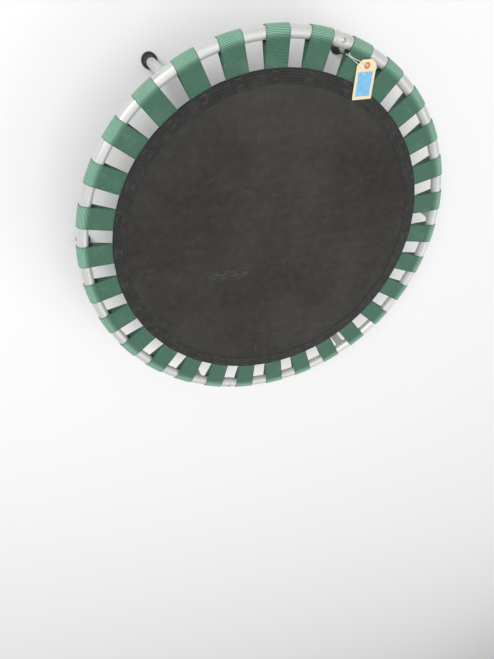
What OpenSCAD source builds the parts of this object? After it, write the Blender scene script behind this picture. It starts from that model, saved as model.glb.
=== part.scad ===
// Mini trampoline: a round steel rim on six screw-in legs, with a woven mat
// held by elastic webbing loops. Millimetres, +Z up, and the origin on the
// floor under the middle of the mat.

/* [Rim] */
// Diameter of the rim, measured along the middle of its tube
rim_d = 914; // [760:2:1100]
// Height of the middle of the rim tube above the floor
rim_h = 190; // [150:1:320]
// Outside diameter of the rim tube
tube_d = 25.4; // [20:0.1:32]
// Wall of the rim tube
tube_wall = 1.6; // [1.2:0.1:2.5]

/* [Rim joints] */
// Bare rim left between a widened socket and the straps beside it
socket_gap = 7; // [4:0.5:9]
// Wall of the socket
socket_wall = 1.4; // [1:0.1:2.5]
// Length of the shoulder that joins a socket to its tube
shoulder_l = 2.5; // [2:0.5:4]
// Gap left between the shoulder and the end of the inserted tube
insert_gap = 1; // [0.5:0.1:3]
// Diameter of the blind rivet that locks each joint
rivet_d = 4.8; // [3:0.1:6]
// Diameter of the rivet's domed head
rivet_head_d = 9.5; // [7:0.1:14]
// Height of the rivet's domed head
rivet_head_h = 1.8; // [1:0.1:3]

/* [Mat] */
// Distance from the edge of the mat to the middle of the rim tube
loop_reach = 64; // [50:1:80]
// Thickness of the woven mat
mat_t = 1.2; // [0.8:0.1:3]
// Width of the webbing border sewn round the mat
border_w = 30; // [20:1:45]
// Thickness of the webbing border
border_t = 1.5; // [1:0.1:3]

/* [Straps] */
// Number of elastic loops round the rim
strap_count = 30; // [24, 30]
// Width of the elastic webbing
strap_w = 50.8; // [40:0.1:62]
// Thickness of the elastic webbing
strap_t = 1.8; // [1:0.1:3]
// Slack between a straight loop and the curved rim tube
loop_slack = 0.2; // [0.2:0.05:1]
// Length of each loop's doubled end that is sewn under the mat
tongue_l = 26; // [15:1:36]
// Clearance between a loop's doubled end and the mat or the border
sewn_gap = 0.1; // [0.1:0.05:0.3]

/* [Legs] */
// Number of legs
leg_count = 6; // [3, 6]
// Outside diameter of a leg tube
leg_d = 22.2; // [18:0.1:27]
// Wall of a leg tube
leg_wall = 1.5; // [1:0.1:2.5]
// Lip of the boss outside the leg tube
boss_lip = 0.9; // [0:0.1:2]
// Height of the boss below the rim tube
boss_h = 7; // [4:0.5:14]
// Diameter of the threaded stud
stud_d = 10; // [8:1:12]
// Length of the stud below its boss
stud_l = 28; // [20:1:45]
// Depth of the stud's seat in the boss
stud_seat = 5; // [3:0.5:10]
// Length of the threaded plug in the top of a leg
plug_l = 32; // [22:1:50]
// Radial clearance between a stud and its plug
thread_gap = 0.1; // [0.05:0.01:0.1]

/* [Feet] */
// Width of the flange outside the foot's sleeve
flange_w = 4.3; // [2.5:0.1:8]
// Height of the flange
flange_h = 5; // [3:0.5:8]
// Height of a rubber foot
foot_h = 33; // [24:1:50]
// Wall of the foot's sleeve
foot_wall = 2.6; // [2:0.1:5]
// Thickness of rubber under the leg tube
sole_t = 5; // [3:0.5:10]
// Depth of the grooves in the sole
groove_depth = 1; // [0.5:0.1:1.5]

/* [Tag] */
// Width of the card tag
tag_w = 46; // [40:1:48]
// Length of the card tag
tag_l = 80; // [70:1:90]
// Thickness of the card
tag_t = 0.8; // [0.6:0.1:1.2]
// Diameter of the tag's reinforcing ring
patch_d = 14; // [10:0.5:18]
// Thickness of the reinforcing ring
patch_t = 0.5; // [0.3:0.1:0.8]
// Diameter of the hole for the string
tag_hole_d = 5; // [4:0.5:6]

/* [Hidden] */
$fn = 96;
rim_r = rim_d / 2;
tube_r = tube_d / 2;
bore_r = tube_r - tube_wall;
socket_r = tube_r + socket_wall;
mat_r = rim_r - loop_reach;

strap_pitch = 360 / strap_count;
leg_pitch = 360 / leg_count;
strap_angles = [for (i = [0:strap_count - 1]) (i + 0.5) * strap_pitch];
leg_angles = [for (i = [0:leg_count - 1]) i * leg_pitch];

// Each rim joint lies in a gap between straps, one gap past a leg.
joint_angle = 60 + strap_pitch;
joint_angles = [joint_angle, joint_angle + 180];
mm_to_deg = 180 / (PI * rim_r);
socket_l = strap_pitch / mm_to_deg - strap_w - 2 * socket_gap;
socket_half = socket_l / 2 * mm_to_deg;
shoulder_deg = shoulder_l * mm_to_deg;
insert_deg = insert_gap * mm_to_deg;

// The doubled strap ends lie level with the middle of the rim tube, and each
// loop is stitched shut a little way outside the mat's edge.
tongue_z = rim_h + strap_t;
mat_z = tongue_z + sewn_gap;
tongue_end_r = mat_r - tongue_l;
mat_top_z = mat_z + mat_t;
border_top_z = mat_top_z + border_t;
border_bottom_z = rim_h - strap_t - sewn_gap - border_t;
loop_bore_r = tube_r + loop_slack;
loop_seam = 3;

// Legs
boss_bottom = rim_h - tube_r - boss_h;
boss_top = rim_h - tube_r * 0.6;
stud_top = boss_bottom + stud_seat;
stud_bottom = boss_bottom - stud_l;
leg_bore_d = leg_d - 2 * leg_wall;
boss_d = leg_d + 2 * boss_lip;
sleeve_r = leg_d / 2 + foot_wall;
foot_d = 2 * (sleeve_r + flange_w);
groove_w = foot_d / 16;

// Rivet: the blind end swells just under the wall of the inserted tube.
rivet_tail_r = rivet_d * 0.75;
rivet_tail_z = rim_h + sqrt(pow(bore_r, 2) - pow(rivet_tail_r, 2)) - 0.05;
rivet_tail_h = rivet_d * 0.7;

// Tag: it hangs by its hole at one edge of a strap, and along Y it first
// leans on the strap and then on the mat's border.
tag_strap_angle = joint_angle - strap_pitch / 2;
tag_hole_reach = mat_r + 40.5;
tag_hole_side = strap_w / 2 + 1.6;
tag_hole = [
    tag_hole_reach * cos(tag_strap_angle) + tag_hole_side * sin(tag_strap_angle),
    tag_hole_reach * sin(tag_strap_angle) - tag_hole_side * cos(tag_strap_angle)
];
tag_margin = 12;
tag_x = tag_hole[0] - 1;
tag_top_y = tag_hole[1] + tag_margin;
tag_rise = rim_h + loop_bore_r + strap_t - border_top_z - 0.7;
tag_bend_y = tag_top_y - 52;
tag_bend_rise = 0.3 * tag_rise;
tag_end_rise = 0.5;
tag_shoulder = 11;
tag_slope = atan((tag_rise - tag_bend_rise) / (tag_top_y - tag_bend_y));
tag_hole_z = border_top_z + tag_bend_rise
    + (tag_hole[1] - tag_bend_y) * tan(tag_slope) + tag_t / cos(tag_slope);

// String: from its loose end on the tag's face, over the strap's edge, back
// under the strap's upper layer, up through the tag's hole and over again.
string_d = 1.4;
string_sides = 8;
string_steps = 3;
string_route = [
    [196, 367, 201.8], [193, 373, 202.5], [188, 379, 203.5], [180, 387, 204.5], [171, 395, 203.5],
    [162, 402, 202.5],
    [154, 407, 202], [151, 409, 199], [154, 407, 196], [163, 403, 196], [174, 397, 196],
    [187, 391, 196], [197, 387, 196.5], [200.5, 385.5, 198], [201, 385, 201], [201, 385, 203.5],
    [200, 385.5, 205.5], [197.5, 387, 206.5], [192, 390, 206], [183, 394, 205], [171, 399, 203.5],
    [161, 405, 202.5], [156, 410, 202.5]
];

STRAPS = [for (i = [1:strap_count]) str("strap_", i < 10 ? "0" : "", i)];
LEGS = [for (i = [1:leg_count]) str("leg_", i)];
PLUGS = [for (i = [1:leg_count]) str("leg_plug_", i)];
FEET = [for (i = [1:leg_count]) str("foot_", i)];

module at_angle(a) rotate([0, 0, a]) translate([rim_r, 0, 0]) children();

module arc(a0, a1) rotate([0, 0, a0]) rotate_extrude(angle = a1 - a0) children();

module bar(r) translate([rim_r, rim_h]) circle(r);

module rivet_holes() for (a = joint_angles)
    at_angle(a) translate([0, 0, rim_h]) cylinder(h = socket_r + 1, d = rivet_d);

// The first half rim carries a socket at each end; its mouth is at the far
// side of the joint from the half rim it belongs to.
module half_rim_a() color([0.74, 0.75, 0.72]) difference() {
    union() {
        arc(joint_angle - 180, joint_angle) bar(tube_r);
        arc(joint_angle - socket_half, joint_angle + socket_half) bar(socket_r);
        arc(joint_angle - 180 - socket_half, joint_angle - 180 + socket_half) bar(socket_r);
    }
    arc(joint_angle - 180 - 2 * socket_half, joint_angle + 2 * socket_half) bar(bore_r);
    arc(joint_angle - socket_half + shoulder_deg, joint_angle + 2 * socket_half) bar(tube_r);
    arc(joint_angle - 180 - 2 * socket_half, joint_angle - 180 + socket_half - shoulder_deg) bar(tube_r);
    rivet_holes();
}

// The second half rim slides into them.
module half_rim_b() color([0.74, 0.75, 0.72]) difference() {
    arc(joint_angle - socket_half + shoulder_deg + insert_deg,
        joint_angle + 180 + socket_half - shoulder_deg - insert_deg)
        difference() {
            bar(tube_r);
            bar(bore_r);
        }
    rivet_holes();
}

module rivet() {
    rotate_extrude() intersection() {
        translate([0, socket_r]) scale([rivet_head_d / 2, rivet_head_h]) circle(1);
        translate([0, socket_r]) square([rivet_head_d, rivet_head_h + 1]);
    }
    translate([0, 0, rivet_tail_z - rim_h]) cylinder(h = socket_r - rivet_tail_z + rim_h, d = rivet_d);
    translate([0, 0, rivet_tail_z - rim_h - rivet_tail_h]) cylinder(h = rivet_tail_h, r = rivet_tail_r);
}

module rim_rivets() color([0.8, 0.8, 0.78])
    for (a = joint_angles) at_angle(a) translate([0, 0, rim_h]) rivet();

// A boss is saddled to the underside of the rim tube.
module leg_bosses() color([0.7, 0.71, 0.68]) difference() {
    for (a = leg_angles) at_angle(a) translate([0, 0, boss_bottom])
        cylinder(h = boss_top - boss_bottom, d = boss_d);
    rotate_extrude() translate([rim_r, rim_h]) circle(tube_r);
    for (a = leg_angles) at_angle(a) translate([0, 0, boss_bottom - 1])
        cylinder(h = stud_seat + 1, d = stud_d);
}

module leg_studs() color([0.6, 0.61, 0.62])
    for (a = leg_angles) at_angle(a) translate([0, 0, stud_bottom])
        cylinder(h = stud_top - stud_bottom, d = stud_d);

module leg(a) color([0.74, 0.75, 0.72]) at_angle(a) translate([0, 0, sole_t]) difference() {
    cylinder(h = boss_bottom - sole_t, d = leg_d);
    translate([0, 0, -1]) cylinder(h = boss_bottom - sole_t + 2, d = leg_bore_d);
}

module leg_plug(a) color([0.55, 0.56, 0.58]) at_angle(a) translate([0, 0, boss_bottom - plug_l])
    difference() {
        cylinder(h = plug_l, d = leg_bore_d);
        translate([0, 0, -1]) cylinder(h = plug_l + 2, d = stud_d + 2 * thread_gap);
    }

module foot_profile() difference() {
    polygon([
        [0, 0], [foot_d / 2 - 1.5, 0], [foot_d / 2, 1.5], [foot_d / 2, flange_h - 1],
        [foot_d / 2 - 1, flange_h], [sleeve_r + 0.8, flange_h + 2.5], [sleeve_r, flange_h + 6],
        [sleeve_r, foot_h - 1.2], [sleeve_r - 1.2, foot_h], [0, foot_h]
    ]);
    translate([0, sole_t]) square([leg_d / 2, foot_h]);
    for (ring = [2, 4]) translate([ring * foot_d / 12, -1]) square([groove_w, groove_depth + 1]);
}

module foot(a) color([0.06, 0.06, 0.06]) at_angle(a) rotate_extrude() foot_profile();

// Point where a line from p touches the upper side of a circle of radius r
// round the origin.
function touch(p, r) = let (a = atan2(p[1], p[0]) - acos(r / norm(p))) [r * cos(a), r * sin(a)];

// A circle drawn out to a tip: the outline of a loop seen end on.
module teardrop(r, tip) {
    top = touch(tip, r);
    circle(r);
    polygon([top, tip, [tip[0], -tip[1]], [top[0], -top[1]], [0, 0]]);
}

module teardrop_bore(r, tip) {
    top = touch(tip, r);
    circle(r);
    polygon([top, tip, [top[0], -top[1]], [0, 0]]);
}

module strap_profile() {
    difference() {
        teardrop(loop_bore_r + strap_t, [-loop_reach, strap_t]);
        teardrop_bore(loop_bore_r, [-loop_reach + loop_seam, 0]);
    }
    translate([-loop_reach - tongue_l, -strap_t]) square([tongue_l, 2 * strap_t]);
}

module strap(a) color([0.27, 0.43, 0.34]) at_angle(a)
    translate([0, strap_w / 2, rim_h]) rotate([90, 0, 0]) linear_extrude(strap_w) strap_profile();

module mat() color([0.24, 0.23, 0.22]) translate([0, 0, mat_z]) cylinder(h = mat_t, r = mat_r);

module border(z) translate([0, 0, z]) difference() {
    cylinder(h = border_t, r = mat_r);
    translate([0, 0, -1]) cylinder(h = border_t + 2, r = mat_r - border_w);
}

module border_top() color([0.13, 0.13, 0.13]) border(mat_top_z);

module border_bottom() color([0.13, 0.13, 0.13]) border(border_bottom_z);

module tag_outline() difference() {
    polygon([
        [-tag_w / 2 + tag_shoulder, 0], [tag_w / 2 - tag_shoulder, 0], [tag_w / 2, -tag_shoulder],
        [tag_w / 2, -tag_l], [-tag_w / 2, -tag_l], [-tag_w / 2, -tag_shoulder]
    ]);
    translate(tag_hole - [tag_x, tag_top_y]) circle(d = tag_hole_d);
}

module tag_side() {
    low = [tag_top_y - tag_l, tag_end_rise];
    bend = [tag_bend_y, tag_bend_rise];
    high = [tag_top_y, tag_rise];
    lift = [0, tag_t];
    polygon([low, bend, high, high + lift, bend + lift, low + lift]);
}

module tag() color([0.93, 0.87, 0.71]) intersection() {
    translate([tag_x, tag_top_y, border_top_z]) linear_extrude(tag_l) tag_outline();
    translate([0, 0, border_top_z]) rotate([90, 0, 90]) linear_extrude(2 * tag_x) tag_side();
}

module tag_patch() color([0.83, 0.38, 0.24])
    translate([tag_hole[0], tag_hole[1], tag_hole_z]) rotate([tag_slope, 0, 0]) difference() {
        cylinder(h = patch_t, d = patch_d);
        translate([0, 0, -1]) cylinder(h = patch_t + 2, d = tag_hole_d);
    }

// A smooth curve through the route's points, and the tube swept along it.
function between(a, b, c, d, t) = 0.5 * (2 * b + (c - a) * t + (2 * a - 5 * b + 4 * c - d) * t * t
    + (3 * b - a - 3 * c + d) * t * t * t);
function pick(list, i) = list[max(0, min(len(list) - 1, i))];
function smooth(list, steps) = concat(
    [for (i = [0:len(list) - 2], s = [0:steps - 1])
        between(pick(list, i - 1), list[i], list[i + 1], pick(list, i + 2), s / steps)],
    [list[len(list) - 1]]);
function unit(v) = v / norm(v);
function ring_at(path, i, r, sides, side_way) = let (
    along = unit(pick(path, i + 1) - pick(path, i - 1)),
    u = unit(cross(along, side_way)),
    v = cross(along, u)
) [for (k = [0:sides - 1]) path[i] + r * (cos(360 * k / sides) * u + sin(360 * k / sides) * v)];

module swept_tube(path, d, sides, side_way) {
    last = (len(path) - 1) * sides;
    points = [for (i = [0:len(path) - 1]) each ring_at(path, i, d / 2, sides, side_way)];
    walls = [for (i = [0:len(path) - 2], k = [0:sides - 1]) let (n = (k + 1) % sides)
        [i * sides + k, i * sides + n, (i + 1) * sides + n, (i + 1) * sides + k]];
    polyhedron(points, concat(walls,
        [[for (k = [sides - 1:-1:0]) k]], [[for (k = [0:sides - 1]) last + k]]), convexity = 6);
}

module tag_string() color([0.93, 0.92, 0.88])
    swept_tube(smooth(string_route, string_steps), string_d, string_sides, [0.4, 0.9, 0]);

half_rim_a();
half_rim_b();
rim_rivets();
leg_bosses();
leg_studs();
for (i = [0:leg_count - 1]) leg(leg_angles[i]);
for (i = [0:leg_count - 1]) leg_plug(leg_angles[i]);
for (i = [0:leg_count - 1]) foot(leg_angles[i]);
for (i = [0:strap_count - 1]) strap(strap_angles[i]);
mat();
border_top();
border_bottom();
tag();
tag_patch();
tag_string();
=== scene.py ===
"""Looks of a mini trampoline: steel rim on screw-in legs, woven mat and elastic webbing loops."""
import logging
import math
import random
from dataclasses import dataclass
from enum import Enum
from typing import Callable, Sequence

import bmesh
import bpy
from mathutils import Matrix, Vector, noise


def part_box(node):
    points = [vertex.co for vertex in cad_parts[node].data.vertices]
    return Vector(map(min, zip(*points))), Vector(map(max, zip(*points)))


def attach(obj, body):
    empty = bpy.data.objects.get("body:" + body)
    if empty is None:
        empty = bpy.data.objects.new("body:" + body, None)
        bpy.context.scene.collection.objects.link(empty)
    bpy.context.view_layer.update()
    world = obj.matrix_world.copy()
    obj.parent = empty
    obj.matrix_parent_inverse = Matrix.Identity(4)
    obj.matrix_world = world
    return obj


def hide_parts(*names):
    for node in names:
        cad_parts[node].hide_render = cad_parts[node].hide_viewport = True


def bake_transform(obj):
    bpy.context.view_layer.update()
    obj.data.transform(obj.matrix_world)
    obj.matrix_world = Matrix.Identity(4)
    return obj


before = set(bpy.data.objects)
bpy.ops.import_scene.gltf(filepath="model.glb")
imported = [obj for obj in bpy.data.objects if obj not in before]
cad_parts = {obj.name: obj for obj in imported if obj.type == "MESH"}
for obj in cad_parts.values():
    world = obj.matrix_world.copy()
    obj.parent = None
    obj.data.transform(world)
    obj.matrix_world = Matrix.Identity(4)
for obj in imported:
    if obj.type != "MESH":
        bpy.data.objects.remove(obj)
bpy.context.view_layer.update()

BOXES: dict[str, tuple[Vector, Vector]] = {}
FINISHED: dict[str, bpy.types.Material] = {}
LOG = logging.getLogger("mini_trampoline")
MM = 0.001
FULL_TURN = 2 * math.pi
THREAD_PITCH = 1.5 * MM


def box(node: str) -> tuple[Vector, Vector]:
    """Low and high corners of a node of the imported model, measured once.

    Args:
        node: Name of the node.

    Returns:
        Its two corners.
    """
    if node not in BOXES:
        BOXES[node] = tuple(Vector(corner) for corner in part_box(node))
    return BOXES[node]


class Fibre(Enum):
    """Which kind of thread a stitched line is sewn with."""

    BLACK = "black"
    WORN = "worn"


# --------------------------------------------------------------------------- sizes


@dataclass(frozen=True)
class Sizes:
    """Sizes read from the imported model's boxes, in metres."""

    rim_r: float
    rim_h: float
    tube_r: float
    socket_r: float
    leg_r: float
    leg_top: float
    boss_r: float
    stud_r: float
    stud_low: float
    stud_high: float
    foot_r: float
    foot_h: float
    loop_r: float
    strap_w: float
    tongue_r: float
    mat_r: float
    mat_low: float
    mat_high: float
    border_top: float
    border_low: float
    strap_count: int
    leg_count: int

    @property
    def strap_pitch(self) -> float:
        """Angle from one strap to the next."""
        return FULL_TURN / self.strap_count

    @property
    def joint_angles(self) -> tuple[float, float]:
        """Angles of the two rim joints, the first one strap past the second leg."""
        first = self.leg_angle(1) + self.strap_pitch
        return first, first + math.pi

    def strap_angle(self, index: int) -> float:
        """Angle of a strap's middle, counted from 0."""
        return (index + 0.5) * self.strap_pitch

    def leg_angle(self, index: int) -> float:
        """Angle of a leg, counted from 0."""
        return index * FULL_TURN / self.leg_count

    @staticmethod
    def measured() -> "Sizes":
        """Read every size from the frame.

        Returns:
            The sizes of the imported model.
        """
        tube_low, tube_high = box("half_rim_b")
        socket_low, socket_high = box("half_rim_a")
        leg_low, leg_high = box("leg_1")
        boss_low, boss_high = box("leg_bosses")
        stud_low, stud_high = box("leg_studs")
        foot_low, foot_high = box("foot_1")
        mat_low, mat_high = box("mat")
        names = list(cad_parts)
        straps = sum(name.startswith("strap_") for name in names)
        legs = sum(name.startswith("foot_") for name in names)
        north = 1 + straps // 4
        strap_low, strap_high = box(f"strap_{north:02d}")
        rim_r = (foot_low.x + foot_high.x) / 2
        return Sizes(
            rim_r=rim_r,
            rim_h=(tube_low.z + tube_high.z) / 2,
            tube_r=(tube_high.z - tube_low.z) / 2,
            socket_r=(socket_high.z - socket_low.z) / 2,
            leg_r=(leg_high.x - leg_low.x) / 2,
            leg_top=leg_high.z,
            boss_r=boss_high.x - rim_r,
            stud_r=stud_high.x - rim_r,
            stud_low=stud_low.z,
            stud_high=stud_high.z,
            foot_r=(foot_high.x - foot_low.x) / 2,
            foot_h=foot_high.z,
            loop_r=(strap_high.z - strap_low.z) / 2,
            strap_w=strap_high.x - strap_low.x,
            tongue_r=strap_low.y,
            mat_r=(mat_high.x - mat_low.x) / 2,
            mat_low=mat_low.z,
            mat_high=mat_high.z,
            border_top=box("border_top")[1].z,
            border_low=box("border_bottom")[0].z,
            strap_count=straps,
            leg_count=legs,
        )


# ------------------------------------------------------------------------ materials


class Recipe:
    """A material being wired, with short calls for the nodes that these finishes use."""

    def __init__(self, name: str) -> None:
        """Start an empty material with one Principled shader."""
        self.material = bpy.data.materials.new(name)
        self.material.use_nodes = True
        self.tree = self.material.node_tree
        self.tree.nodes.clear()
        self.shader = self.tree.nodes.new("ShaderNodeBsdfPrincipled")
        output = self.tree.nodes.new("ShaderNodeOutputMaterial")
        self.tree.links.new(self.shader.outputs["BSDF"], output.inputs["Surface"])

    @classmethod
    def of(cls, material: bpy.types.Material) -> "Recipe":
        """Take up a finished material again, to wire more into it."""
        recipe = cls.__new__(cls)
        recipe.material, recipe.tree = material, material.node_tree
        recipe.shader = recipe.tree.nodes["Principled BSDF"]
        return recipe

    def put(self, socket: object, value: object) -> None:
        """Link an output to a socket, or set the socket's own value."""
        if isinstance(value, bpy.types.NodeSocket):
            self.tree.links.new(value, socket)
        else:
            socket.default_value = value

    def set(self, **values: object) -> None:
        """Set inputs of the shader; an underscore in a name stands for a space."""
        for key, value in values.items():
            self.put(self.shader.inputs[key.replace("_", " ")], value)

    def coords(self, kind: str = "Object") -> bpy.types.NodeSocket:
        """Object or UV coordinates."""
        return self.tree.nodes.new("ShaderNodeTexCoord").outputs[kind]

    def scaled(self, vector: bpy.types.NodeSocket, scale: Sequence[float]) -> bpy.types.NodeSocket:
        """Coordinates times a scale for each axis."""
        node = self.tree.nodes.new("ShaderNodeMapping")
        self.put(node.inputs["Vector"], vector)
        node.inputs["Scale"].default_value = scale
        return node.outputs["Vector"]

    def math(self, kind: str, a: object, b: object = 0.0, c: object = 0.0) -> bpy.types.NodeSocket:
        """One Math node."""
        node = self.tree.nodes.new("ShaderNodeMath")
        node.operation = kind
        for socket, value in zip(node.inputs, (a, b, c)):
            self.put(socket, value)
        return node.outputs[0]

    def split(self, vector: bpy.types.NodeSocket) -> tuple[bpy.types.NodeSocket, ...]:
        """The three parts of a vector."""
        node = self.tree.nodes.new("ShaderNodeSeparateXYZ")
        self.put(node.inputs[0], vector)
        return tuple(node.outputs)

    def join(self, x: object, y: object, z: object) -> bpy.types.NodeSocket:
        """A vector from three parts."""
        node = self.tree.nodes.new("ShaderNodeCombineXYZ")
        for socket, value in zip(node.inputs, (x, y, z)):
            self.put(socket, value)
        return node.outputs[0]

    def noise(
        self,
        vector: bpy.types.NodeSocket,
        scale: float,
        detail: float = 4.0,
        roughness: float = 0.55,
        w: object = None,
    ) -> bpy.types.NodeSocket:
        """Noise from 0 to 1 at that scale, four-dimensional if w is given."""
        node = self.tree.nodes.new("ShaderNodeTexNoise")
        node.noise_dimensions = "3D" if w is None else "4D"
        self.put(node.inputs["Vector"], vector)
        if w is not None:
            self.put(node.inputs["W"], w)
        node.inputs["Scale"].default_value = scale
        node.inputs["Detail"].default_value = detail
        node.inputs["Roughness"].default_value = roughness
        return node.outputs[0]

    def ramp(self, value: object, low: float, high: float) -> bpy.types.NodeSocket:
        """Value taken from low..high to 0..1, clamped and smooth."""
        node = self.tree.nodes.new("ShaderNodeMapRange")
        node.interpolation_type = "SMOOTHSTEP"
        self.put(node.inputs["Value"], value)
        node.inputs["From Min"].default_value = low
        node.inputs["From Max"].default_value = high
        return node.outputs["Result"]

    def mix(self, factor: object, a: object, b: object) -> bpy.types.NodeSocket:
        """Blend of two colours."""
        node = self.tree.nodes.new("ShaderNodeMix")
        node.data_type = "RGBA"
        self.put(node.inputs["Factor"], factor)
        self.put(node.inputs[6], rgba(a))
        self.put(node.inputs[7], rgba(b))
        return node.outputs[2]

    def wave(self, value: object, pitch: float, phase: float = 0.0) -> bpy.types.NodeSocket:
        """A sine of value with that pitch, from 0 to 1."""
        turned = self.math("MULTIPLY_ADD", value, FULL_TURN / pitch, phase)
        return self.math("MULTIPLY_ADD", self.math("SINE", turned), 0.5, 0.5)

    def bump(self, height: object, distance: float, strength: float = 1.0) -> None:
        """Drive the shader's normal from a height."""
        node = self.tree.nodes.new("ShaderNodeBump")
        node.inputs["Distance"].default_value = distance
        node.inputs["Strength"].default_value = strength
        self.put(node.inputs["Height"], height)
        self.put(self.shader.inputs["Normal"], node.outputs[0])


def rgba(colour: object) -> object:
    """Give a plain colour an alpha, and leave a socket as it is."""
    if isinstance(colour, bpy.types.NodeSocket) or len(colour) == 4:
        return colour
    return (*colour, 1.0)


@dataclass(frozen=True)
class Finish:
    """A finish that builds its material once."""

    name: str

    def material(self) -> bpy.types.Material:
        """The finished material, made at the first call."""
        if self.name not in FINISHED:
            FINISHED[self.name] = self.make()
        return FINISHED[self.name]

    def make(self) -> bpy.types.Material:
        """Build the material; each finish has its own."""
        raise NotImplementedError


@dataclass(frozen=True)
class RimPaint(Finish):
    """Old light grey paint on the rim tube, streaked along the tube."""

    base: tuple[float, float, float] = (0.60, 0.61, 0.595)
    grime: tuple[float, float, float] = (0.27, 0.27, 0.245)
    bare: tuple[float, float, float] = (0.20, 0.19, 0.17)
    rim_r: float = 0.457

    def make(self) -> bpy.types.Material:
        """Streaks follow the rim's round, through four-dimensional noise."""
        r = Recipe(self.name)
        x, y, z = r.split(r.coords())
        radius = r.math("SQRT", r.math("ADD", r.math("MULTIPLY", x, x), r.math("MULTIPLY", y, y)))
        across = r.math("MULTIPLY", r.math("SUBTRACT", radius, self.rim_r), 170.0)
        up = r.math("MULTIPLY", z, 170.0)
        around = r.join(r.math("MULTIPLY", x, 9.0), r.math("MULTIPLY", y, 9.0), across)
        streak = r.noise(around, 1.0, 5.0, 0.6, up)
        patches = r.noise(r.coords(), 30.0, 5.0)
        specks = r.noise(r.coords(), 620.0, 2.0)
        dirt = r.math("MULTIPLY", r.ramp(streak, 0.47, 0.78), r.ramp(patches, 0.35, 0.7))
        colour = r.mix(r.math("MULTIPLY", dirt, 0.55), self.base, self.grime)
        chips = r.math("MULTIPLY", r.ramp(specks, 0.70, 0.76), r.ramp(patches, 0.5, 0.62))
        r.set(Base_Color=r.mix(r.math("MULTIPLY", chips, 0.8), colour, self.bare))
        r.set(Metallic=0.2, Coat_Weight=0.3, Coat_Roughness=0.18, Roughness=r.math(
            "MULTIPLY_ADD", streak, 0.30, 0.20))
        r.bump(r.math("ADD", r.math("MULTIPLY", patches, 0.4), r.math("MULTIPLY", chips, -0.5)),
               0.0004, 0.5)
        return r.material


@dataclass(frozen=True)
class LegPaint(Finish):
    """The same paint on the legs, streaked down their length."""

    base: tuple[float, float, float] = (0.58, 0.59, 0.58)
    grime: tuple[float, float, float] = (0.24, 0.24, 0.22)

    def make(self) -> bpy.types.Material:
        """Streaks run up and down, and dirt gathers low on the leg."""
        r = Recipe(self.name)
        place = r.coords()
        height = r.split(place)[2]
        streak = r.noise(r.scaled(place, (320.0, 320.0, 9.0)), 1.0, 4.0)
        low = r.math("SUBTRACT", 1.0, r.ramp(height, 0.03, 0.12))
        dirt = r.math("MULTIPLY", r.ramp(streak, 0.42, 0.75),
                      r.math("MULTIPLY_ADD", low, 0.45, 0.35))
        r.set(Base_Color=r.mix(dirt, self.base, self.grime))
        r.set(Metallic=0.2, Coat_Weight=0.25, Coat_Roughness=0.22, Roughness=r.math(
            "MULTIPLY_ADD", streak, 0.3, 0.26))
        r.bump(r.noise(place, 260.0, 3.0), 0.0003, 0.4)
        return r.material


@dataclass(frozen=True)
class Metal(Finish):
    """Bare or plated metal with fine turning marks and dull spots."""

    base: tuple[float, float, float] = (0.55, 0.55, 0.54)
    dull: tuple[float, float, float] = (0.24, 0.235, 0.225)
    roughness: float = 0.32

    def make(self) -> bpy.types.Material:
        """Rings of fine marks up the axis, and cloudy tarnish."""
        r = Recipe(self.name)
        place = r.coords()
        marks = r.noise(r.scaled(place, (60.0, 60.0, 2400.0)), 1.0, 2.0)
        tarnish = r.ramp(r.noise(place, 190.0, 4.0), 0.42, 0.72)
        r.set(Base_Color=r.mix(r.math("MULTIPLY", tarnish, 0.7), self.base, self.dull))
        r.set(Metallic=1.0, Roughness=r.math("MULTIPLY_ADD", tarnish, 0.3, self.roughness))
        r.bump(marks, 0.0001, 0.35)
        return r.material


@dataclass(frozen=True)
class WeldBead(Finish):
    """A painted-over weld, darker in its ripples."""

    base: tuple[float, float, float] = (0.55, 0.56, 0.53)
    soot: tuple[float, float, float] = (0.17, 0.16, 0.145)

    def make(self) -> bpy.types.Material:
        """Lumpy paint with soot in the hollows."""
        r = Recipe(self.name)
        lumps = r.noise(r.coords(), 420.0, 4.0)
        r.set(Base_Color=r.mix(r.ramp(lumps, 0.5, 0.7), self.base, self.soot))
        r.set(Metallic=0.2, Roughness=0.5)
        r.bump(lumps, 0.0006, 0.7)
        return r.material


@dataclass(frozen=True)
class FootRubber(Finish):
    """Moulded black rubber with a bloom of dust and scuffs low down."""

    base: tuple[float, float, float] = (0.011, 0.011, 0.0115)
    # Grey for the dust near the floor, also used for the painted highlight on the flange's lip.
    dust: tuple[float, float, float] = (0.115, 0.115, 0.105)

    def make(self) -> bpy.types.Material:
        """Grain in the rubber, dust near the floor, and a painted highlight on the flange's raised lip."""
        r = Recipe(self.name)
        place = r.coords()
        height = r.split(place)[2]
        grain = r.noise(place, 900.0, 3.0)
        cloud = r.noise(place, 120.0, 5.0, 0.65)
        low = r.math("SUBTRACT", 1.0, r.ramp(height, 0.001, 0.014))
        dusty = r.math("MULTIPLY", r.ramp(cloud, 0.42, 0.74), r.math("MULTIPLY_ADD", low, 0.4, 0.22))
        # Painted highlight: a lighter ring on the flange's raised lip, drawn with the dust colour.
        lip = r.math("MULTIPLY", r.ramp(height, 3.9 * MM, 4.7 * MM), r.ramp(height, 6.4 * MM, 5.2 * MM))
        dusty = r.math("MAXIMUM", dusty, r.math("MULTIPLY", lip, 0.75))
        r.set(Base_Color=r.mix(dusty, self.base, self.dust))
        r.set(Roughness=r.math("MULTIPLY_ADD", cloud, 0.25, 0.48))
        r.bump(grain, 0.0003, 0.5)
        return r.material


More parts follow.
